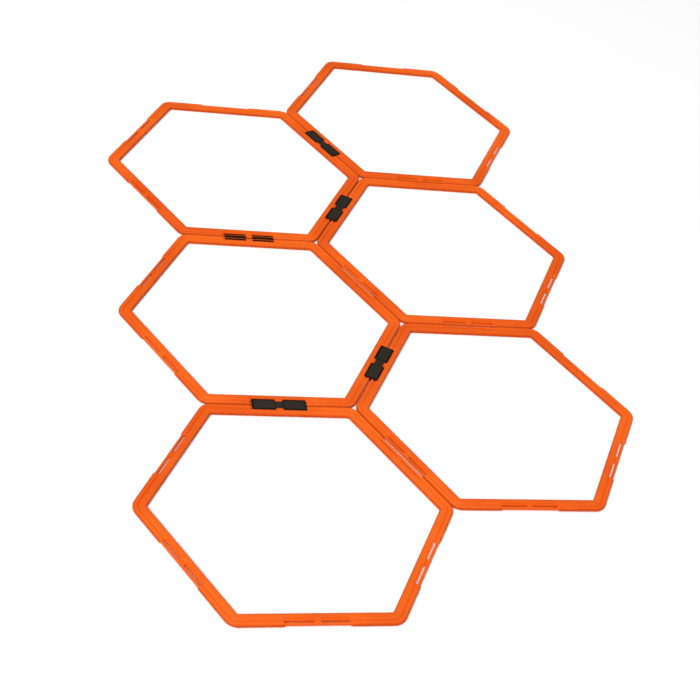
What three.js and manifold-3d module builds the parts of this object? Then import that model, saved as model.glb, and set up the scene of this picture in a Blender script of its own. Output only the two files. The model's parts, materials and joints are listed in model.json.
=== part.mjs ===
// Agility grid: six flat hexagonal rings, held side by side by five double snap clips.
// Millimetres, +Z up. The grid lies flat on z = 0, its origin under the middle of its outline.
import * as THREE from 'three';
import { mergeVertices } from 'three/addons/utils/BufferGeometryUtils.js';
import Module from 'manifold-3d';

// ---- Driving dimensions: the ring -------------------------------------------------------

const INNER_RADIUS = 230; // hole of a ring, middle to sharp corner
const BAR_WIDTH = 21; // inner edge to outer edge
const RING_HEIGHT = 7.6;
const EDGE_CHAMFER = 1.3;
const INNER_CORNER_RADIUS = 2;
const CORNER_STEPS = 2; // curve divisions, so a 60 degree corner has twice as many facets
const SEAM_GAP = 2; // free space between two neighbouring rings

// ---- Driving dimensions: the clip seat in the middle of every side ------------------------

const ROD_RADIUS = 2.5; // round rod that a clip snaps on
const ROD_SIDES = 12;
const ROD_INSET = 3.2; // axis of a rod, in from the outer edge
const ROD_EMBED = 2; // how far the rod runs into solid bar at each end
const SLOT_WIDTH = 2.6; // through slot between rod and rail, for a clip's inner leg
const SEAT_HALF_LENGTH = 48.2;
const LAND_HALF_LENGTH = 5.9; // solid block between a seat's two slots
const RECESS_HALF_HEIGHT = 2.2; // the seat is thinned to this above and below mid height
const PLATE_OVERHANG = 3.25; // reach of a clip's plate beyond the outer edge of its leg

// ---- Driving dimensions: the clip -----------------------------------------------------------

const RUNNING_GAP = 0.3; // between clip and ring, all round
const CLIP_HALF_LENGTH = 46;
const WAIST_HALF_LENGTH = 6.3;
const WAIST_HALF_WIDTH = 7.6;
const JAW_RADIUS = 2.86; // corners of the faceted bore round a rod
const JAW_STEPS = 12;
const MOUTH_ANGLE = 70 * Math.PI / 180; // open part of a jaw, centred straight down
const LEG_THICKNESS = 2;
const LEG_TAPER_HEIGHT = 2.4; // bevel at a leg's foot
const LEG_TAPER_WIDTH = 1.6;
const LIP_DROP = 3.7; // from the rod's axis down to the foot of a jaw
const PLATE_CHAMFER = 0.5;
const RIB_HALF_WIDTH = 1.4;
const RIB_DROP = 2.4; // stiffening rib under the waist

// ---- Modelling allowances: these leave no mark on the finished parts ---------------------------

const WELD_DISTANCE = 1e-4; // vertices closer than this are one
const CUT_PAST = 1; // how far a cutter reaches beyond the surfaces it cuts
const CUT_JOIN = 1e-3; // overlap of two cutters that share a face
const WAIST_EMBED = 1; // how far the waist runs into each pad

// ---- Worked out from those ------------------------------------------------------------------

const MID_HEIGHT = RING_HEIGHT / 2;
const INNER_APOTHEM = INNER_RADIUS * Math.cos(Math.PI / 6);
const OUTER_APOTHEM = INNER_APOTHEM + BAR_WIDTH;
const OUTER_CORNER_RADIUS = INNER_CORNER_RADIUS + BAR_WIDTH;
const PITCH = 2 * OUTER_APOTHEM + SEAM_GAP;
const ROD_APOTHEM = OUTER_APOTHEM - ROD_INSET;
const ROD_OFFSET = SEAM_GAP / 2 + ROD_INSET; // axis of a rod, from the middle of the seam
const SLOT_OUTER_APOTHEM = ROD_APOTHEM - ROD_RADIUS;
const SLOT_INNER_APOTHEM = SLOT_OUTER_APOTHEM - SLOT_WIDTH;
const JAW_SWEEP = 2 * Math.PI - MOUTH_ANGLE;
const BORE_APOTHEM = JAW_RADIUS * Math.cos(JAW_SWEEP / JAW_STEPS / 2);
const PLATE_UNDERSIDE = BORE_APOTHEM; // above the rods' axes
const PLATE_TOP = RING_HEIGHT - MID_HEIGHT;
const LEG_OUTER = ROD_OFFSET + BORE_APOTHEM + LEG_THICKNESS; // from the middle of the seam
const PLATE_HALF_WIDTH = LEG_OUTER + PLATE_OVERHANG;
const PAD_LENGTH = CLIP_HALF_LENGTH - WAIST_HALF_LENGTH;

// A place across a seam, measured from its middle, as a distance from the middle of a ring.
const fromSeam = (offset) => OUTER_APOTHEM + SEAM_GAP / 2 - offset;
const RAIL_RECESS_APOTHEM = fromSeam(PLATE_HALF_WIDTH + RUNNING_GAP);
const LAND_RECESS_APOTHEM = fromSeam(WAIST_HALF_WIDTH + RUNNING_GAP);

// ---- Solids ---------------------------------------------------------------------------------

const wasm = await Module();
wasm.setup();

function toSolid(geometry) {
  const bare = geometry.index ? geometry.toNonIndexed() : geometry.clone();
  bare.deleteAttribute('normal');
  bare.deleteAttribute('uv');
  const merged = mergeVertices(bare, WELD_DISTANCE);
  return new wasm.Manifold(new wasm.Mesh({
    numProp: 3,
    vertProperties: new Float32Array(merged.attributes.position.array),
    triVerts: new Uint32Array(merged.index.array),
  }));
}

function toGeometry(solid) {
  const mesh = solid.getMesh();
  const geometry = new THREE.BufferGeometry();
  geometry.setAttribute('position', new THREE.BufferAttribute(mesh.vertProperties, 3));
  geometry.setIndex(new THREE.BufferAttribute(mesh.triVerts, 1));
  geometry.computeVertexNormals();
  return geometry;
}

// A rounded hexagon with corners at 0, 60, ... degrees, as a closed run of six corner arcs.
function traceHexagon(path, apothem, cornerRadius) {
  const reach = (apothem - cornerRadius) / Math.cos(Math.PI / 6);
  for (let corner = 0; corner < 6; corner += 1) {
    const angle = corner * Math.PI / 3;
    const x = reach * Math.cos(angle);
    const y = reach * Math.sin(angle);
    path.absarc(x, y, cornerRadius, angle - Math.PI / 6, angle + Math.PI / 6, false);
  }
  return path;
}

// A section drawn as (distance along X, height) and pushed along +Y from start to end.
// X stays X, and the section's own height is counted from mid height.
function pushAlongY(section, start, end) {
  const geometry = new THREE.ExtrudeGeometry(section, {
    depth: end - start,
    bevelEnabled: false,
    curveSegments: JAW_STEPS,
  });
  geometry.rotateX(Math.PI / 2);
  geometry.translate(0, end, MID_HEIGHT);
  return geometry;
}

function polygon(points) {
  return new THREE.Shape(points.map(([x, y]) => new THREE.Vector2(x, y)));
}

// ---- Ring -----------------------------------------------------------------------------------

function ringBlank() {
  const outline = traceHexagon(new THREE.Shape(), OUTER_APOTHEM, OUTER_CORNER_RADIUS);
  outline.holes.push(traceHexagon(new THREE.Path(), INNER_APOTHEM, INNER_CORNER_RADIUS));
  const geometry = new THREE.ExtrudeGeometry(outline, {
    depth: RING_HEIGHT - 2 * EDGE_CHAMFER,
    bevelSize: EDGE_CHAMFER,
    bevelThickness: EDGE_CHAMFER,
    bevelOffset: -EDGE_CHAMFER,
    bevelSegments: 1,
    curveSegments: CORNER_STEPS,
  });
  geometry.translate(0, 0, EDGE_CHAMFER);
  return toSolid(geometry);
}

// What a cutter takes away across the bar: a recess above and below, out from recessAt,
// and everything from openAt outwards.
function seatSection(recessAt, openAt) {
  const past = OUTER_APOTHEM + CUT_PAST;
  const clear = MID_HEIGHT + CUT_PAST;
  return polygon([
    [recessAt, -clear],
    [past, -clear],
    [past, clear],
    [recessAt, clear],
    [recessAt, RECESS_HALF_HEIGHT],
    [openAt, RECESS_HALF_HEIGHT],
    [openAt, -RECESS_HALF_HEIGHT],
    [recessAt, -RECESS_HALF_HEIGHT],
  ]);
}

// The cutters and the rod of the side that faces +X.
function seatTools() {
  const slotSection = seatSection(RAIL_RECESS_APOTHEM, SLOT_INNER_APOTHEM);
  const landSection = seatSection(LAND_RECESS_APOTHEM, ROD_APOTHEM);
  const landReach = LAND_HALF_LENGTH + CUT_JOIN;
  const cutter = toSolid(pushAlongY(slotSection, LAND_HALF_LENGTH, SEAT_HALF_LENGTH))
    .add(toSolid(pushAlongY(slotSection, -SEAT_HALF_LENGTH, -LAND_HALF_LENGTH)))
    .add(toSolid(pushAlongY(landSection, -landReach, landReach)));
  const rod = new THREE.CylinderGeometry(
    ROD_RADIUS,
    ROD_RADIUS,
    2 * (SEAT_HALF_LENGTH + ROD_EMBED),
    ROD_SIDES,
  );
  rod.translate(ROD_APOTHEM, 0, MID_HEIGHT);
  return { cutter, rod: toSolid(rod) };
}

function buildRing() {
  const { cutter, rod } = seatTools();
  let ring = ringBlank();
  for (let side = 0; side < 6; side += 1) {
    const turn = [0, 0, 30 + 60 * side];
    ring = ring.subtract(cutter.rotate(turn)).add(rod.rotate(turn));
  }
  return toGeometry(ring);
}

// ---- Clip -----------------------------------------------------------------------------------
// Modelled plate up, its length along Y, the seam's middle at x = 0, and mid height at z = 0
// until it is placed. Each jaw is a bore round one rod, open downwards.

// Half a pad's section, from the web's foot out to the edge of the plate, for one jaw at +X.
function jawOutline() {
  const start = 1.5 * Math.PI - MOUTH_ANGLE / 2;
  const points = [];
  for (let step = 0; step <= JAW_STEPS; step += 1) {
    const angle = start - JAW_SWEEP * step / JAW_STEPS;
    points.push([ROD_OFFSET + JAW_RADIUS * Math.cos(angle), JAW_RADIUS * Math.sin(angle)]);
  }
  const tip = JAW_RADIUS * Math.sin(MOUTH_ANGLE / 2);
  return [
    [ROD_OFFSET - tip, -LIP_DROP],
    ...points,
    [ROD_OFFSET + tip, -LIP_DROP],
    [LEG_OUTER - LEG_TAPER_WIDTH, -LIP_DROP],
    [LEG_OUTER, -LIP_DROP + LEG_TAPER_HEIGHT],
    [LEG_OUTER, PLATE_UNDERSIDE],
    [PLATE_HALF_WIDTH, PLATE_UNDERSIDE],
    [PLATE_HALF_WIDTH, PLATE_TOP - PLATE_CHAMFER],
    [PLATE_HALF_WIDTH - PLATE_CHAMFER, PLATE_TOP],
  ];
}

function padSection() {
  const right = jawOutline();
  const left = right.map(([x, y]) => [-x, y]).reverse();
  return polygon([...right, ...left]);
}

function waistSection() {
  return polygon([
    [RIB_HALF_WIDTH, PLATE_UNDERSIDE - RIB_DROP],
    [RIB_HALF_WIDTH, PLATE_UNDERSIDE],
    [WAIST_HALF_WIDTH, PLATE_UNDERSIDE],
    [WAIST_HALF_WIDTH, PLATE_TOP],
    [-WAIST_HALF_WIDTH, PLATE_TOP],
    [-WAIST_HALF_WIDTH, PLATE_UNDERSIDE],
    [-RIB_HALF_WIDTH, PLATE_UNDERSIDE],
    [-RIB_HALF_WIDTH, PLATE_UNDERSIDE - RIB_DROP],
  ]);
}

function buildClip() {
  const pad = padSection();
  const waistReach = WAIST_HALF_LENGTH + WAIST_EMBED;
  const clip = toSolid(pushAlongY(pad, WAIST_HALF_LENGTH, CLIP_HALF_LENGTH))
    .add(toSolid(pushAlongY(pad, -CLIP_HALF_LENGTH, -WAIST_HALF_LENGTH)))
    .add(toSolid(pushAlongY(waistSection(), -waistReach, waistReach)));
  return toGeometry(clip.translate([0, 0, -MID_HEIGHT]));
}

// ---- Assembly -------------------------------------------------------------------------------

const ringGeometry = buildRing();
const clipGeometry = buildClip();
const ringPlastic = new THREE.MeshStandardMaterial({
  color: new THREE.Color('rgb(250, 98, 22)'),
  roughness: 0.42,
  metalness: 0,
});
const clipPlastic = new THREE.MeshStandardMaterial({
  color: new THREE.Color('rgb(34, 33, 35)'),
  roughness: 0.5,
  metalness: 0,
});

// Two columns of three rings, a pitch apart. The left column sits half a pitch towards -Y of
// the right one.
const COLUMN_STEP = PITCH * Math.cos(Math.PI / 6) / 2;
const ringPlaces = {
  ring_left_rear: [-COLUMN_STEP, 0.75 * PITCH],
  ring_left_middle: [-COLUMN_STEP, -0.25 * PITCH],
  ring_left_front: [-COLUMN_STEP, -1.25 * PITCH],
  ring_right_rear: [COLUMN_STEP, 1.25 * PITCH],
  ring_right_middle: [COLUMN_STEP, 0.25 * PITCH],
  ring_right_front: [COLUMN_STEP, -0.75 * PITCH],
};

// Each clip joins two rings. A turned-over clip has its plate underneath.
const clipPlaces = {
  clip_left_rear: { joins: ['ring_left_middle', 'ring_left_rear'], turnedOver: true },
  clip_left_front: { joins: ['ring_left_middle', 'ring_left_front'], turnedOver: false },
  clip_cross_rear: { joins: ['ring_left_rear', 'ring_right_rear'], turnedOver: false },
  clip_cross_middle: { joins: ['ring_left_rear', 'ring_right_middle'], turnedOver: false },
  clip_cross_front: { joins: ['ring_left_middle', 'ring_right_front'], turnedOver: false },
};

const grid = new THREE.Group();

for (const [name, [x, y]] of Object.entries(ringPlaces)) {
  const ring = new THREE.Mesh(ringGeometry, ringPlastic);
  ring.name = name;
  ring.position.set(x, y, 0);
  grid.add(ring);
}

for (const [name, { joins, turnedOver }] of Object.entries(clipPlaces)) {
  const [from, to] = joins.map((ring) => new THREE.Vector2(...ringPlaces[ring]));
  const clip = new THREE.Mesh(clipGeometry, clipPlastic);
  const across = to.clone().sub(from);
  const middle = from.clone().add(to).multiplyScalar(0.5);
  clip.name = name;
  if (turnedOver) clip.rotation.y = Math.PI;
  const seam = new THREE.Group();
  seam.position.set(middle.x, middle.y, MID_HEIGHT);
  seam.rotation.z = Math.atan2(across.y, across.x);
  seam.add(clip);
  grid.add(seam);
}

export default grid;
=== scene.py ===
"""Six hexagonal agility rings in orange plastic, held together by five black snap clips."""
import json
import math

import bmesh
import bpy
from mathutils import Matrix, Vector
from mathutils.geometry import tessellate_polygon

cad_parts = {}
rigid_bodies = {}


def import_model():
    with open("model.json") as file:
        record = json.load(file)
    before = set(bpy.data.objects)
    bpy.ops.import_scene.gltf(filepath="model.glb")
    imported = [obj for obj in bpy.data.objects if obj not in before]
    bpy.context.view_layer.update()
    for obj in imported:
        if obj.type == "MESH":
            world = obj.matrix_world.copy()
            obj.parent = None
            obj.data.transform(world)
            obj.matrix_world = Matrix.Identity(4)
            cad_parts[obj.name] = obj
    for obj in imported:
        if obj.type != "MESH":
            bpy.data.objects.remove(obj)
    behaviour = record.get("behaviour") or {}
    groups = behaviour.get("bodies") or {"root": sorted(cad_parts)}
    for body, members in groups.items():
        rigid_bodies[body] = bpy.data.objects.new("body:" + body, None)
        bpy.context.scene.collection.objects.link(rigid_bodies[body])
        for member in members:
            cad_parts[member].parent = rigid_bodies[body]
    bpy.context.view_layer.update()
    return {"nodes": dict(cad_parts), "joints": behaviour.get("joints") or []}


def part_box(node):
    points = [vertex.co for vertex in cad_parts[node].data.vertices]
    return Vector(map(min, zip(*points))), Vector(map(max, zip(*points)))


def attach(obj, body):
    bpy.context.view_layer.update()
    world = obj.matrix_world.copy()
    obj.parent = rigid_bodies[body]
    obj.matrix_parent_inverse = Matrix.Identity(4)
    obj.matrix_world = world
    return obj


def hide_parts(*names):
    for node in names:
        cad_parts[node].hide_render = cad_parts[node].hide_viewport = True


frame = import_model()

# ---- Sizes, in metres --------------------------------------------------------------------------

MM = 0.001

# The hexagon, in degrees.
SIDES = 6
SIDE_TURN = 360 / SIDES
FIRST_SIDE = 30  # where the first side's middle lies, from the X axis

# The ring's bar. "Across" is a distance from the bar's inner edge towards its outer one.
BAR_WIDTH = 21 * MM
INNER_CORNER_RADIUS = 2 * MM
CORNER_STEPS = 4
EDGE_ROUND = 2.6 * MM
RAIL_MIDDLE = 6.4 * MM  # the rail lies between the inner edge and a groove
RAIL_CROWN = 0.25 * MM
GROOVE_ACROSS = 12.9 * MM
GROOVE_HALF_WIDTH = 1.35 * MM
GROOVE_DEPTH = 1.5 * MM
BEAD_CREST = 17.05 * MM  # the bead lies between the groove and the outer edge
BEAD_FALL = 0.6 * MM
OUTER_FLAT = 1.3 * MM  # half the height of the flat on the bead's outer side
OUTER_SWELL = 0.45 * MM  # the bead's outer side swells into the seam, 1.1 mm of which stays open
OUTER_EDGE = BAR_WIDTH + OUTER_SWELL

# The clip seat on each side. "Along" is a distance from the middle of the side.
ROD_RADIUS = 2.5 * MM
ROD_ACROSS = 17.8 * MM
SLOT_INNER = 12.7 * MM
SLOT_OUTER = ROD_ACROSS - ROD_RADIUS
ROD_OUTER = ROD_ACROSS + ROD_RADIUS
SLOT_NEAR = 5.9 * MM
SLOT_FAR = 48.2 * MM
SHELF_HEIGHT = 2.2 * MM  # the thinned bar's surface, above mid height
RAIL_WALL = 9.45 * MM
LAND_WALL = 14.1 * MM
WALL_SLOPE = 0.15 * MM  # half the width of the step down into a recess
LAND_SLOPE = 0.3 * MM
RAMP_START = 47.4 * MM  # the seat rises to the plain bar again from here to RAMP_END
RAMP_END = 50.2 * MM
RAMP_STEPS = 8

# The clip, from the middle of its seam and from the height of the rods' axes, plate up.
SEAM_TO_ROD = 4.2 * MM
CLIP_HALF_LENGTH = 46 * MM
WAIST_HALF_LENGTH = 6.3 * MM
WAIST_HALF_WIDTH = 7.6 * MM
WAIST_UNDERSIDE = 2.9 * MM
WAIST_TOP = 3.6 * MM
WAIST_FILLET = 0.4 * MM
BORE_RADIUS = 2.78 * MM
MOUTH_HALF_ANGLE = 35
LEG_OUTER = 9.0 * MM
LEG_TAPER_WIDTH = 1.6 * MM
LEG_TAPER_HEIGHT = 2.4 * MM
LIP_DROP = 3.7 * MM
LIP_ROUND = 0.45 * MM
PLATE_UNDERSIDE = 2.8 * MM
PLATE_TOP = 3.8 * MM
PLATE_HALF_WIDTH = 12.25 * MM
PLATE_EDGE_ROUND = 0.15 * MM
PILLOW_WIDTH = 2.4 * MM
PILLOW_DROP = 0.65 * MM
PILLOW_AT_WAIST = 0.45  # the pillowed edge sinks less where a pad meets the waist
PILLOW_STEPS = 5
BORE_STEPS = 18
LIP_STEPS = 3
SMALL_STEPS = 2
CROWN = 0.12 * MM
BORDER_START = 1.6 * MM  # the plate's border of painted shade fades out between these two distances
BORDER_END = 4.4 * MM
RIB_HALF_WIDTH = 1.4 * MM
RIB_BOTTOM = 0.4 * MM

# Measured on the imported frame.
RING_LOW, RING_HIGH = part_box("ring_left_middle")
INNER_APOTHEM = (RING_HIGH.y - RING_LOW.y) / 2 - BAR_WIDTH
HALF_HEIGHT = (RING_HIGH.z - RING_LOW.z) / 2
CORNER_APOTHEM = INNER_APOTHEM - INNER_CORNER_RADIUS
STRAIGHT_HALF = CORNER_APOTHEM * math.tan(math.radians(SIDE_TURN / 2))

SHARP_ANGLE = math.radians(50)  # a steeper edge is a crease
SAME_POINT = 1e-7


# ---- Small helpers -----------------------------------------------------------------------------

def smoothstep(low, high, value):
    share = min(max((value - low) / (high - low), 0.0), 1.0)
    return share * share * (3 - 2 * share)


def mix(start, end, share):
    return start + (end - start) * share


def arc(centre, radii, start, end, steps):
    """Points on an elliptical arc, from one angle in degrees to another."""
    points = []
    for step in range(steps + 1):
        angle = math.radians(mix(start, end, step / steps))
        x = centre[0] + radii[0] * math.cos(angle)
        points.append((x, centre[1] + radii[1] * math.sin(angle)))
    return points


def add_face(mesh, corners):
    """A face on these corners. Corners that are one and the same vertex count once."""
    unique = list(dict.fromkeys(corners))
    if len(unique) > 2:
        mesh.faces.new(unique)


def finished_piece(name, mesh, material):
    """Turns a closed bmesh into an object with smooth shading and crisp creases."""
    bmesh.ops.recalc_face_normals(mesh, faces=mesh.faces)
    for face in mesh.faces:
        face.smooth = True
    for edge in mesh.edges:
        edge.smooth = edge.calc_face_angle(0.0) < SHARP_ANGLE
    data = bpy.data.meshes.new(name)
    mesh.to_mesh(data)
    mesh.free()
    data.materials.append(material)
    piece = bpy.data.objects.new(name, data)
    bpy.context.scene.collection.objects.link(piece)
    even = piece.modifiers.new("even_shading", "WEIGHTED_NORMAL")
    even.keep_sharp = True
    return piece


# ---- Ring --------------------------------------------------------------------------------------
# A ring's surface is its height above mid height at each place along and across its sides, and
# the same below.

def bar_height(across):
    """The plain bar: a rail with a rounded inner edge, a groove, and a bead that falls away
    to the outer edge."""
    if across > BEAD_CREST:
        past = (across - BEAD_CREST) / (OUTER_EDGE - BEAD_CREST)
        return OUTER_FLAT + (HALF_HEIGHT - OUTER_FLAT) * math.sqrt(max(1 - past ** 2, 0.0))
    height = HALF_HEIGHT
    if across > GROOVE_ACROSS:
        height -= BEAD_FALL * ((BEAD_CREST - across) / (BEAD_CREST - GROOVE_ACROSS)) ** 2
    else:
        height -= RAIL_CROWN * ((across - RAIL_MIDDLE) / RAIL_MIDDLE) ** 2
    inset = min(across, EDGE_ROUND)
    height -= EDGE_ROUND - math.sqrt(EDGE_ROUND ** 2 - (EDGE_ROUND - inset) ** 2)
    from_groove = min(abs(across - GROOVE_ACROSS) / GROOVE_HALF_WIDTH, 1.0)
    return height - GROOVE_DEPTH * (1 - from_groove ** 2) ** 2


def rod_height(across):
    return math.sqrt(max(ROD_RADIUS ** 2 - (across - ROD_ACROSS) ** 2, 0.0))


def pocket_height(across):
    """Beside a slot: the rail steps down to a shelf, and past the slot lies the rod."""
    if across > SLOT_OUTER - SAME_POINT:
        return rod_height(across)
    step_down = smoothstep(RAIL_WALL - WALL_SLOPE, RAIL_WALL + WALL_SLOPE, across)
    return mix(bar_height(across), SHELF_HEIGHT, step_down)


def land_height(across):
    """The solid block between a seat's two slots. Its outer edge is as round as the rod."""
    if across > ROD_ACROSS:
        return rod_height(across)
    step_down = smoothstep(LAND_WALL - WALL_SLOPE, LAND_WALL + WALL_SLOPE, across)
    return mix(bar_height(across), ROD_RADIUS, step_down)


def ring_height(along, across):
    """From a side's middle outwards: the land, the pockets, and the plain bar."""
    off_land = smoothstep(SLOT_NEAR - LAND_SLOPE, SLOT_NEAR, along)
    seat = mix(land_height(across), pocket_height(across), off_land)
    return mix(seat, bar_height(across), smoothstep(RAMP_START, RAMP_END, along))


def across_lines():
    """Where the surface is sampled across the bar, closer together where it curves."""
    steps = [math.radians(angle) for angle in (0, 30, 60, 90)]
    lines = [EDGE_ROUND * (1 - math.cos(step)) for step in steps]
    lines += [RAIL_WALL + WALL_SLOPE * share for share in (-1, -0.33, 0.33, 1)]
    lines.append(SLOT_INNER)
    lines += [GROOVE_ACROSS + GROOVE_HALF_WIDTH * share for share in (-1, -0.6, -0.3, 0, 0.3, 0.6)]
    lines += [LAND_WALL - WALL_SLOPE, LAND_WALL + WALL_SLOPE]
    lines += [ROD_ACROSS + hand * ROD_RADIUS * math.cos(step) for step in steps for hand in (-1, 1)]
    lines += [mix(BEAD_CREST, OUTER_EDGE, math.sin(step)) for step in steps[1:]]
    lines += [mix(BEAD_CREST, OUTER_EDGE, math.sin(math.radians(75)))]
    return sorted({round(line, 7) for line in lines})


def along_lines():
    """Where the surface is sampled from a side's middle to the start of its corner."""
    land = [0.0, SLOT_NEAR - LAND_SLOPE, SLOT_NEAR - LAND_SLOPE / 2, SLOT_NEAR]
    slot = [SLOT_NEAR + LAND_SLOPE, (SLOT_NEAR + SLOT_FAR) / 2]
    ramp = [mix(RAMP_START, RAMP_END, step / RAMP_STEPS) for step in range(RAMP_STEPS + 1)]
    return sorted(land + slot + ramp + [SLOT_FAR, (RAMP_END + STRAIGHT_HALF) / 2, STRAIGHT_HALF])


def ring_stations():
    """One full way round: for each station its side's turn, its place along and corner angle."""
    half = [(value, 0.0) for value in along_lines()]
    bends = [SIDE_TURN / 2 * step / CORNER_STEPS for step in range(1, CORNER_STEPS + 1)]
    half += [(STRAIGHT_HALF, bend) for bend in bends]
    back = [(-along, -angle) for along, angle in half[1:-1]]
    side = back[::-1] + half
    turns = [SIDE_TURN * number + FIRST_SIDE for number in range(SIDES)]
    return [(turn, along, angle) for turn in turns for along, angle in side]


def ring_point(turn, along, angle, across):
    """The place in plan of a point on the ring, with the ring's middle at the origin."""
    reach = INNER_CORNER_RADIUS + across
    bend = math.radians(angle)
    out = CORNER_APOTHEM + reach * math.cos(bend)
    sideways = along + reach * math.sin(bend)
    return Matrix.Rotation(math.radians(turn), 3, "Z") @ Vector((out, sideways, 0))


def is_open(stations, number, across):
    """Whether there is no plastic between this station and the next, at this place across."""
    start, end = stations[number], stations[(number + 1) % len(stations)]
    along = (abs(start[1]) + abs(end[1])) / 2
    slot = SLOT_NEAR < along and SLOT_INNER < across < SLOT_OUTER
    return along < SLOT_FAR and (slot or across > ROD_OUTER)


def ring_mesh():
    """The whole ring. Its "edge" is 1 along the bar's two edges and 0 further in, and says where
    painted shade darkens the bar.
    """
    stations, lines = ring_stations(), across_lines()
    mesh = bmesh.new()
    edge_shade_layer = mesh.verts.layers.float.new("edge")
    top, bottom = [], []
    for turn, along, angle in stations:
        tops, bottoms = [], []
        for across in lines:
            place = ring_point(turn, along, angle, across)
            height = ring_height(abs(along), across)
            # How strongly painted shade darkens this spot: 1 at the bar's two edges.
            edge = 1 - min(min(across, OUTER_EDGE - across) / EDGE_ROUND, 1.0)
            tops.append(mesh.verts.new(place + Vector((0, 0, height))))
            flat = height < SAME_POINT
            bottoms.append(tops[-1] if flat else mesh.verts.new(place - Vector((0, 0, height))))
            tops[-1][edge_shade_layer] = edge
            bottoms[-1][edge_shade_layer] = edge
        top.append(tops)
        bottom.append(bottoms)
    count, cells = len(stations), len(lines) - 1
    solid = [[not is_open(stations, i, (lines[j] + lines[j + 1]) / 2) for j in range(cells)]
             for i in range(count)]
    for i in range(count):
        k = (i + 1) % count
        for j in range(cells):
            if not solid[i][j]:
                continue
            add_face(mesh, [top[i][j], top[i][j + 1], top[k][j + 1], top[k][j]])
            add_face(mesh, [bottom[i][j], bottom[k][j], bottom[k][j + 1], bottom[i][j + 1]])
            if j == 0 or not solid[i][j - 1]:
                add_face(mesh, [top[i][j], top[k][j], bottom[k][j], bottom[i][j]])
            if j == cells - 1 or not solid[i][j + 1]:
                add_face(mesh, [top[i][j + 1], bottom[i][j + 1], bottom[k][j + 1], top[k][j + 1]])
            if not solid[i - 1][j]:
                add_face(mesh, [top[i][j], bottom[i][j], bottom[i][j + 1], top[i][j + 1]])
            if not solid[k][j]:
                add_face(mesh, [top[k][j], top[k][j + 1], bottom[k][j + 1], bottom[k][j]])
    unused = [corner for corner in mesh.verts if not corner.link_faces]
    bmesh.ops.delete(mesh, geom=unused, context="VERTS")
    return mesh


# ---- Clip --------------------------------------------------------------------------------------
# The seam runs along Y, and mid height is at z = 0. A section is drawn in X and Z.

def mirrored_loop(right_half):
    """A closed section from its right half, which runs from the bottom middle to the top."""
    return right_half + [(-x, z) for x, z in reversed(right_half) if x > SAME_POINT]


def pad_section(rounded, sunk):
    """A pad's section. Both numbers are 0 in the middle of a pad and grow towards its ends, to 1
    at most: rounded draws the corners in, and sunk lowers the top."""
    wide = PLATE_HALF_WIDTH - PILLOW_WIDTH * (1 - math.sqrt(1 - rounded ** 2))
    mouth = BORE_RADIUS * math.sin(math.radians(MOUTH_HALF_ANGLE))
    foot = LIP_ROUND - LIP_DROP
    lip = (LIP_ROUND, LIP_ROUND)
    bore = (BORE_RADIUS, BORE_RADIUS)
    small = (PLATE_EDGE_ROUND, PLATE_EDGE_ROUND)
    inside_corner = (LEG_OUTER + PLATE_EDGE_ROUND, PLATE_UNDERSIDE - PLATE_EDGE_ROUND)
    outside_corner = (wide - PLATE_EDGE_ROUND, PLATE_UNDERSIDE + PLATE_EDGE_ROUND)
    points = [(0.0, -LIP_DROP)]
    points += arc((SEAM_TO_ROD - mouth - LIP_ROUND, foot), lip, -90, 0, LIP_STEPS)
    points += arc((SEAM_TO_ROD, 0), bore, 270 - MOUTH_HALF_ANGLE, MOUTH_HALF_ANGLE - 90, BORE_STEPS)
    points += arc((SEAM_TO_ROD + mouth + LIP_ROUND, foot), lip, 180, 270, LIP_STEPS)
    points.append((LEG_OUTER - LEG_TAPER_WIDTH, -LIP_DROP))
    points.append((LEG_OUTER, LEG_TAPER_HEIGHT - LIP_DROP))
    points += arc(inside_corner, small, 180, 90, SMALL_STEPS)
    points += arc(outside_corner, small, -90, 0, SMALL_STEPS)
    for step in range(PILLOW_STEPS + 1):
        past_side = math.cos(math.radians(90 * step / PILLOW_STEPS))
        x = wide - PILLOW_WIDTH * (1 - past_side)
        points.append((x, pillow_top(x, past_side, sunk)))
    for share in (0.75, 0.5, 0.25, 0.0):
        x = (wide - PILLOW_WIDTH) * share
        points.append((x, pillow_top(x, 0.0, sunk)))
    return mirrored_loop(points)


def pillow_top(x, past_side, sunk):
    """A pad's top: slightly crowned, with an edge that falls away as a quarter of an ellipse."""
    fall = 1 - math.sqrt(max(1 - past_side ** 2 - sunk ** 2, 0.0))
    return PLATE_TOP - PILLOW_DROP * fall - CROWN * (x / PLATE_HALF_WIDTH) ** 2


def waist_section(along):
    """The waist's section, with a rib below. It widens in a fillet where it meets the pads."""
    past = max(abs(along) - (WAIST_HALF_LENGTH - WAIST_FILLET), 0.0) / WAIST_FILLET
    wide = WAIST_HALF_WIDTH + WAIST_FILLET * (1 - math.sqrt(max(1 - past ** 2, 0.0)))
    small = (PLATE_EDGE_ROUND, PLATE_EDGE_ROUND)
    side = wide - PLATE_EDGE_ROUND
    rib_corner = (RIB_HALF_WIDTH - PLATE_EDGE_ROUND, RIB_BOTTOM + PLATE_EDGE_ROUND)
    points = [(0.0, RIB_BOTTOM)]
    points += arc(rib_corner, small, -90, 0, SMALL_STEPS)
    points.append((RIB_HALF_WIDTH, WAIST_UNDERSIDE))
    points += arc((side, WAIST_UNDERSIDE + PLATE_EDGE_ROUND), small, -90, 0, SMALL_STEPS)
    points += arc((side, WAIST_TOP - PLATE_EDGE_ROUND), small, 0, 90, SMALL_STEPS + 1)
    points.append((0.0, WAIST_TOP))
    return mirrored_loop(points)


def add_loop(mesh, section, along):
    return [mesh.verts.new((x, along, z)) for x, z in section]


def join_loops(mesh, loops):
    for near, far in zip(loops, loops[1:]):
        for i, corner in enumerate(near):
            add_face(mesh, [near[i - 1], corner, far[i], far[i - 1]])


def fill_end(mesh, *loops):
    """A flat end wall. A second loop is a hole in the first."""
    corners = [corner for loop in loops for corner in loop]
    for triangle in tessellate_polygon([[corner.co for corner in loop] for loop in loops]):
        add_face(mesh, [corners[i] for i in triangle])


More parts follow.
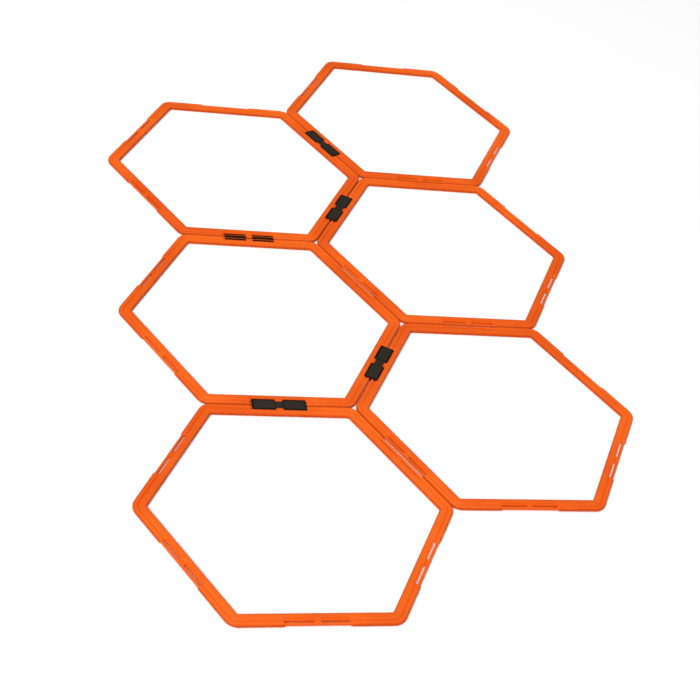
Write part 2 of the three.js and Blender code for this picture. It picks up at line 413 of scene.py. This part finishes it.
def pad_loops(mesh, hand):
    """A pad's sections from the waist out to its far end, towards +Y or, with hand -1, -Y."""
    shares = [math.sin(math.radians(90 * step / PILLOW_STEPS)) for step in range(PILLOW_STEPS + 1)]
    loops = []
    for share in reversed(shares):
        along = WAIST_HALF_LENGTH + PILLOW_WIDTH * (1 - share)
        loops.append(add_loop(mesh, pad_section(share, share * PILLOW_AT_WAIST), hand * along))
    for along in (WAIST_HALF_LENGTH + BORDER_END, CLIP_HALF_LENGTH - BORDER_END):
        loops.append(add_loop(mesh, pad_section(0, 0), hand * along))
    for share in shares:
        along = CLIP_HALF_LENGTH - PILLOW_WIDTH * (1 - share)
        loops.append(add_loop(mesh, pad_section(share, share), hand * along))
    return loops


def from_outline(spot):
    """How far in from a pad's outline a spot on the clip is. All of the clip below its top counts
    as outline, and the waist's top as middle. At the waist, where the border is narrower, the
    outline counts as BORDER_START."""
    if spot.z < PLATE_UNDERSIDE + PLATE_EDGE_ROUND + SAME_POINT:
        return 0.0
    along = abs(spot.y)
    if along < WAIST_HALF_LENGTH - SAME_POINT:
        return BORDER_END
    ends = min(CLIP_HALF_LENGTH - along, along - WAIST_HALF_LENGTH + BORDER_START)
    return min(PLATE_HALF_WIDTH - abs(spot.x), ends)


def clip_mesh():
    """The whole clip. Its "edge" is 1 along the pads' outlines and below the top, and it fades to
    0 on the rest of the top. It says where painted shade darkens the clip."""
    mesh = bmesh.new()
    edge_shade_layer = mesh.verts.layers.float.new("edge")
    waist_places = [WAIST_HALF_LENGTH - WAIST_FILLET * share for share in (0, 1 / 3, 1)]
    waist_places += [-place for place in reversed(waist_places)]
    waist_loops = [add_loop(mesh, waist_section(along), along) for along in waist_places]
    join_loops(mesh, waist_loops)
    for hand, waist_end in ((1, waist_loops[0]), (-1, waist_loops[-1])):
        loops = pad_loops(mesh, hand)
        join_loops(mesh, loops)
        fill_end(mesh, loops[-1])
        fill_end(mesh, loops[0], waist_end)
    for corner in mesh.verts:
        # Painted shade: dark along the pads' outlines and on all of the clip below its top.
        corner[edge_shade_layer] = 1 - smoothstep(BORDER_START, BORDER_END, from_outline(corner.co))
    return mesh


# ---- Materials ---------------------------------------------------------------------------------
# A noise's scale is in waves per metre. A pair of noise values says where a pattern starts and
# where it is full.

PATTERN_SHIFT = 3.7
CLOUD_SCALE = 7.0
CLOUD_VALUES = (0.35, 0.65)
MOTTLE_SCALE = 160.0
GRAIN_SCALE = 1500.0
SINK_SCALE = 30.0
SINK_DEPTH = 0.25 * MM

# Scratches: the turn in degrees, the scale and the strength of each of the two directions.
SCRATCH_STRETCH = 0.03
SCRATCH_VALUES = (0.64, 0.74)
FIRST_SCRATCHES = (24, 1100.0, 0.5)
SECOND_SCRATCHES = (-58, 800.0, 0.4)
SCUFFED_PATCHES = (0.4, 0.6)
SCUFF_ROUGHNESS = 0.2
SCUFF_DEPTH = -0.02 * MM

# Painted shade: the edges are darkened where the edge attribute is 1, standing in for the shade on
# edges turned from the light. It is patchy over these mottle values.
PAINTED_SHADE_PATCHES = (0.35, 0.7)
PAINTED_SHADE_FAINTEST = 0.7  # how much of the painted edge shade is left where it is faintest
RIM_SHINE = 0.2  # how much of the shine is left on the edges that are painted shaded
UNEVEN_VALUES = (0.3, 0.7)
UNEVEN_ROUGHNESS = 0.05
PARTING_HALF_WIDTH = 0.2 * MM
PARTING_RISE = 0.1 * MM

FLOOR_CLOUD_SCALE = 2.0
FLOOR_DARKER = (0.96, 0.96, 0.96, 1)
FLOOR_LIGHTER = (0.99, 0.99, 0.99, 1)
THIN_FLOOR = 0.45


class Graph:
    """Adds nodes to a material and joins them. A socket or a plain value can be an input."""

    def __init__(self, name):
        self.material = bpy.data.materials.new(name)
        self.material.use_nodes = True
        self.tree = self.material.node_tree
        self.surface = self.tree.nodes["Principled BSDF"]

    def put(self, socket, value):
        if isinstance(value, bpy.types.NodeSocket):
            self.tree.links.new(value, socket)
        else:
            socket.default_value = value

    def add(self, kind, inputs, output=0, **settings):
        node = self.tree.nodes.new(kind)
        for key, value in settings.items():
            setattr(node, key, value)
        for key, value in inputs.items():
            self.put(node.inputs[key], value)
        return node.outputs[output]

    def math(self, operation, first, second=0.0):
        return self.add("ShaderNodeMath", {0: first, 1: second}, operation=operation)

    def spread(self, value, low, high, to_low=0.0, to_high=1.0):
        """Maps low..high onto to_low..to_high, and holds the ends."""
        inputs = {0: value, 1: low, 2: high, 3: to_low, 4: to_high}
        return self.add("ShaderNodeMapRange", inputs, interpolation_type="SMOOTHSTEP")

    def colour(self, share, first, second):
        """From the first colour to the second as share goes from 0 to 1. The colour sockets
        share their names with others, so they go by their numbers."""
        inputs = {0: share, 6: first, 7: second}
        return self.add("ShaderNodeMix", inputs, output=2, data_type="RGBA")

    def noise(self, place, per_metre, detail=3.0):
        inputs = {"Vector": place, "Scale": per_metre, "Detail": detail}
        return self.add("ShaderNodeTexNoise", inputs)

    def place(self):
        """The spot on the piece, shifted from one piece to the next so that none match."""
        spot = self.add("ShaderNodeTexCoord", {}, output="Object")
        number = self.add("ShaderNodeObjectInfo", {}, output="Object Index")
        shift = self.math("MULTIPLY", number, PATTERN_SHIFT)
        return self.add("ShaderNodeVectorMath", {0: spot, 1: shift}, operation="ADD")

    def scratches(self, place, turn, per_metre, amount):
        """Fine straight scuffs in one direction, where a stretched noise peaks."""
        inputs = {"Vector": place, "Rotation": (0, 0, math.radians(turn)),
                  "Scale": (per_metre, per_metre * SCRATCH_STRETCH, per_metre)}
        streaks = self.noise(self.add("ShaderNodeMapping", inputs), 1.0, detail=2.0)
        return self.spread(streaks, *SCRATCH_VALUES, 0.0, amount)

    def bump(self, height, distance, normal=None):
        inputs = {"Height": height, "Distance": distance, "Strength": 1.0}
        if normal is not None:
            inputs["Normal"] = normal
        return self.add("ShaderNodeBump", inputs)


def plastic(name, base, tone, painted_shade, scuffed, roughness, shine, painted_shade_share, wear, grain):
    """Moulded plastic: uneven tone, painted shade on the edges, fine scuffs, and a spark-eroded
    grain. The colours are linear, and shine is the specular level. The edge share, wear and the
    grain's depth say how strong the painted edge shade, the scuffs and the grain are. The painted
    shade is a darker colour standing in for the shade on edges and walls turned from the light."""
    graph = Graph(name)
    place = graph.place()
    edge = graph.add("ShaderNodeAttribute", {}, output="Fac", attribute_name="edge")
    cloud = graph.spread(graph.noise(place, CLOUD_SCALE), *CLOUD_VALUES)
    mottle = graph.noise(place, MOTTLE_SCALE, detail=4.0)
    fine = graph.noise(place, GRAIN_SCALE, detail=2.0)
    first = graph.scratches(place, *FIRST_SCRATCHES)
    second = graph.scratches(place, *SECOND_SCRATCHES)
    crossed = graph.math("ADD", first, second)
    scuffs = graph.math("MULTIPLY", crossed, graph.spread(mottle, *SCUFFED_PATCHES))
    # Painted shade: the edges turn, patchily, towards the darker edge colour.
    patchy = graph.spread(mottle, *PAINTED_SHADE_PATCHES, PAINTED_SHADE_FAINTEST * painted_shade_share, painted_shade_share)
    painted_shade_mask = graph.math("MULTIPLY", edge, patchy)
    colour = graph.colour(cloud, base, tone)
    colour = graph.colour(painted_shade_mask, colour, painted_shade)
    colour = graph.colour(graph.math("MULTIPLY", scuffs, wear), colour, scuffed)
    smoother, rougher = roughness - UNEVEN_ROUGHNESS, roughness + UNEVEN_ROUGHNESS
    uneven = graph.spread(mottle, *UNEVEN_VALUES, smoother, rougher)
    graph.put(graph.surface.inputs["Base Color"], colour)
    rough = graph.math("ADD", uneven, graph.math("MULTIPLY", scuffs, SCUFF_ROUGHNESS))
    graph.put(graph.surface.inputs["Roughness"], rough)
    # The shine is turned down with the painted edge shade, so the edges also show less reflection.
    dull = graph.spread(painted_shade_mask, 0.0, 1.0, shine, RIM_SHINE * shine)
    graph.put(graph.surface.inputs["Specular IOR Level"], dull)
    sunk = graph.bump(graph.noise(place, SINK_SCALE, detail=1.0), SINK_DEPTH)
    spot = graph.add("ShaderNodeTexCoord", {}, output="Object")
    height = graph.add("ShaderNodeSeparateXYZ", {0: spot}, output="Z")
    parting = graph.spread(graph.math("ABSOLUTE", height), 0.0, PARTING_HALF_WIDTH, 1.0, 0.0)
    line = graph.bump(parting, PARTING_RISE, sunk)
    scored = graph.bump(scuffs, SCUFF_DEPTH, line)
    graph.put(graph.surface.inputs["Normal"], graph.bump(fine, grain, scored))
    return graph.material


def floor_material():
    """A matt pale floor. It is solid close to where the bars lie at rest, and thin elsewhere, so
    that a ring that is folded below it still shows there."""
    graph = Graph("pale_floor")
    spot = graph.add("ShaderNodeTexCoord", {}, output="Object")
    shade = graph.colour(graph.noise(spot, FLOOR_CLOUD_SCALE), FLOOR_DARKER, FLOOR_LIGHTER)
    near = graph.add("ShaderNodeAttribute", {}, output="Fac", attribute_name="near")
    graph.put(graph.surface.inputs["Base Color"], shade)
    graph.put(graph.surface.inputs["Alpha"], graph.spread(near, 0.0, 1.0, THIN_FLOOR, 1.0))
    graph.surface.inputs["Roughness"].default_value = 1.0
    graph.surface.inputs["Specular IOR Level"].default_value = 0.0
    return graph.material


ring_plastic = plastic(
    "ring_plastic",
    base=(0.735, 0.093, 0.003, 1),
    tone=(0.845, 0.126, 0.006, 1),
    # The darker colour below is painted shade on the bars' edges.
    painted_shade=(0.40, 0.033, 0.001, 1),
    scuffed=(0.94, 0.24, 0.06, 1),
    roughness=0.42,
    shine=0.2,
    painted_shade_share=0.75,
    wear=0.35,
    grain=0.02 * MM,
)
clip_plastic = plastic(
    "clip_plastic",
    base=(0.0135, 0.0080, 0.0030, 1),
    tone=(0.0175, 0.0105, 0.0045, 1),
    # The darker colour below is painted shade on the clips' borders and undersides.
    painted_shade=(0.006, 0.0020, 0.001, 1),
    scuffed=(0.060, 0.052, 0.047, 1),
    roughness=0.5,
    shine=0.35,
    painted_shade_share=1.0,
    wear=0.35,
    grain=0.03 * MM,
)

# ---- Pieces ------------------------------------------------------------------------------------

def put_in_place(piece, node, number):
    """The piece takes the CAD node's place and rides on the body that the node is alone in."""
    piece.pass_index = number
    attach(piece, node)
    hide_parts(node)


def middle_of(node):
    low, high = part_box(node)
    middle = (low + high) / 2
    middle.z = HALF_HEIGHT
    return middle


def make_ring(node, number):
    piece = finished_piece(node + "_moulding", ring_mesh(), ring_plastic)
    piece.location = middle_of(node)
    put_in_place(piece, node, number)


def make_clip(node, number):
    """A clip lies along the hinges that it turns on. One whose open side is up is turned over."""
    hinge = next(joint for joint in frame["joints"] if node in (joint["parent"], joint["child"]))
    low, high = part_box(node)
    turned_over = low.z < 2 * HALF_HEIGHT - high.z
    lengthwise = math.atan2(-hinge["axis"][0], hinge["axis"][1])
    piece = finished_piece(node + "_moulding", clip_mesh(), clip_plastic)
    piece.rotation_euler = (0, math.pi if turned_over else 0, lengthwise)
    piece.location = middle_of(node)
    put_in_place(piece, node, number)


for number, node in enumerate(sorted(frame["nodes"])):
    if node.startswith("ring"):
        make_ring(node, number)
    else:
        make_clip(node, number)

# ---- Floor, light and camera -------------------------------------------------------------------

FLOOR_HALF_SIZE = 8.0
FLOOR_GAP = 0.1 * MM
FLOOR_FINE_CELLS = 160
FLOOR_FINE_HALF = 1.2  # half the side of the fine grid
SOLID_REACH = 35 * MM  # the floor is solid up to here from the middle of a bar,
THIN_REACH = 90 * MM  # and thin from here on
SKY_STRENGTH = 0.24
OVERHEAD_SIZE = 4.0
OVERHEAD_HEIGHT = 3.0
OVERHEAD_POWER = 36.0
KEY_AZIMUTH = -38.0
KEY_ELEVATION = 46.0
KEY_SIZE = 7.8
KEY_DISTANCE = 14.0
KEY_POWER = 1880.0

CAMERA_AZIMUTH = -19.652
CAMERA_ELEVATION = 40.461
CAMERA_ROLL = 15.304
CAMERA_LENS = 72.79
CAMERA_DISTANCE = 2.472
CAMERA_AIM_OFFSET = Vector((0.14683, -0.07275, 0))  # from the left middle ring's middle


def bar_distance(spot, centre):
    """How far this spot of the floor is from the middle line of a ring's bar."""
    out = spot - centre
    sides = [math.radians(SIDE_TURN * number + FIRST_SIDE) for number in range(SIDES // 2)]
    apothem = max(abs(out.x * math.cos(side) + out.y * math.sin(side)) for side in sides)
    return abs(apothem - INNER_APOTHEM - BAR_WIDTH / 2)


def make_floor():
    """A fine grid in the middle, whose outermost cells reach out to the floor's edges."""
    mesh = bmesh.new()
    near_layer = mesh.verts.layers.float.new("near")
    cells = FLOOR_FINE_CELLS
    bmesh.ops.create_grid(mesh, x_segments=cells, y_segments=cells, size=FLOOR_FINE_HALF)
    centres = [middle_of(node) for node in frame["nodes"] if node.startswith("ring")]
    for corner in mesh.verts:
        distance = min(bar_distance(corner.co, centre) for centre in centres)
        corner[near_layer] = 1 - smoothstep(SOLID_REACH, THIN_REACH, distance)
        for axis in (0, 1):
            if abs(corner.co[axis]) > FLOOR_FINE_HALF - SAME_POINT:
                corner.co[axis] = math.copysign(FLOOR_HALF_SIZE, corner.co[axis])
    data = bpy.data.meshes.new("floor")
    mesh.to_mesh(data)
    mesh.free()
    data.materials.append(floor_material())
    floor = bpy.data.objects.new("floor", data)
    floor.location.z = -FLOOR_GAP
    bpy.context.scene.collection.objects.link(floor)


def away(azimuth, elevation):
    """The direction from the object to a viewer or a light. Azimuth 0 is in front, at -Y."""
    turn, tilt = math.radians(azimuth), math.radians(elevation)
    flat = math.cos(tilt)
    return Vector((math.sin(turn) * flat, -math.cos(turn) * flat, math.sin(tilt)))


def make_soft_light(name, size, power, place):
    """A square soft light at this place, which faces the origin."""
    lamp = bpy.data.lights.new(name, "AREA")
    lamp.shape = "SQUARE"
    lamp.size = size
    lamp.energy = power
    light = bpy.data.objects.new(name, lamp)
    light.location = place
    light.rotation_euler = place.to_track_quat("Z", "Y").to_euler()
    bpy.context.scene.collection.objects.link(light)


def make_sky():
    """An even sky that lights only a little, and is plain white where the camera sees it."""
    world = bpy.data.worlds.new("sky")
    world.use_nodes = True
    nodes, links = world.node_tree.nodes, world.node_tree.links
    soft = nodes["Background"]
    soft.inputs["Strength"].default_value = SKY_STRENGTH
    soft.inputs["Color"].default_value = (1, 1, 1, 1)
    seen = nodes.new("ShaderNodeBackground")
    seen.inputs["Color"].default_value = (1, 1, 1, 1)
    path = nodes.new("ShaderNodeLightPath")
    either = nodes.new("ShaderNodeMixShader")
    links.new(path.outputs["Is Camera Ray"], either.inputs[0])
    links.new(soft.outputs[0], either.inputs[1])
    links.new(seen.outputs[0], either.inputs[2])
    links.new(either.outputs[0], nodes["World Output"].inputs["Surface"])
    bpy.context.scene.world = world


def make_camera():
    """The camera, as it was fitted to the photo. It looks at a spot on the floor."""
    back = away(CAMERA_AZIMUTH, CAMERA_ELEVATION)
    turn = math.radians(CAMERA_AZIMUTH)
    level = Vector((math.cos(turn), math.sin(turn), 0))
    upright = back.cross(level)
    roll = math.radians(CAMERA_ROLL)
    right = math.cos(roll) * level + math.sin(roll) * upright
    up = math.cos(roll) * upright - math.sin(roll) * level
    aim = middle_of("ring_left_middle") + CAMERA_AIM_OFFSET
    aim.z = 0
    data = bpy.data.cameras.new("camera")
    data.lens = CAMERA_LENS
    camera = bpy.data.objects.new("camera", data)
    axes = Matrix((right, up, back)).transposed()
    camera.matrix_world = Matrix.Translation(aim + back * CAMERA_DISTANCE) @ axes.to_4x4()
    bpy.context.scene.collection.objects.link(camera)
    bpy.context.scene.camera = camera


make_floor()
make_soft_light("overhead", OVERHEAD_SIZE, OVERHEAD_POWER, away(0, 90) * OVERHEAD_HEIGHT)
make_soft_light("key", KEY_SIZE, KEY_POWER, away(KEY_AZIMUTH, KEY_ELEVATION) * KEY_DISTANCE)
make_sky()
make_camera()
bpy.context.scene.view_settings.view_transform = "Standard"
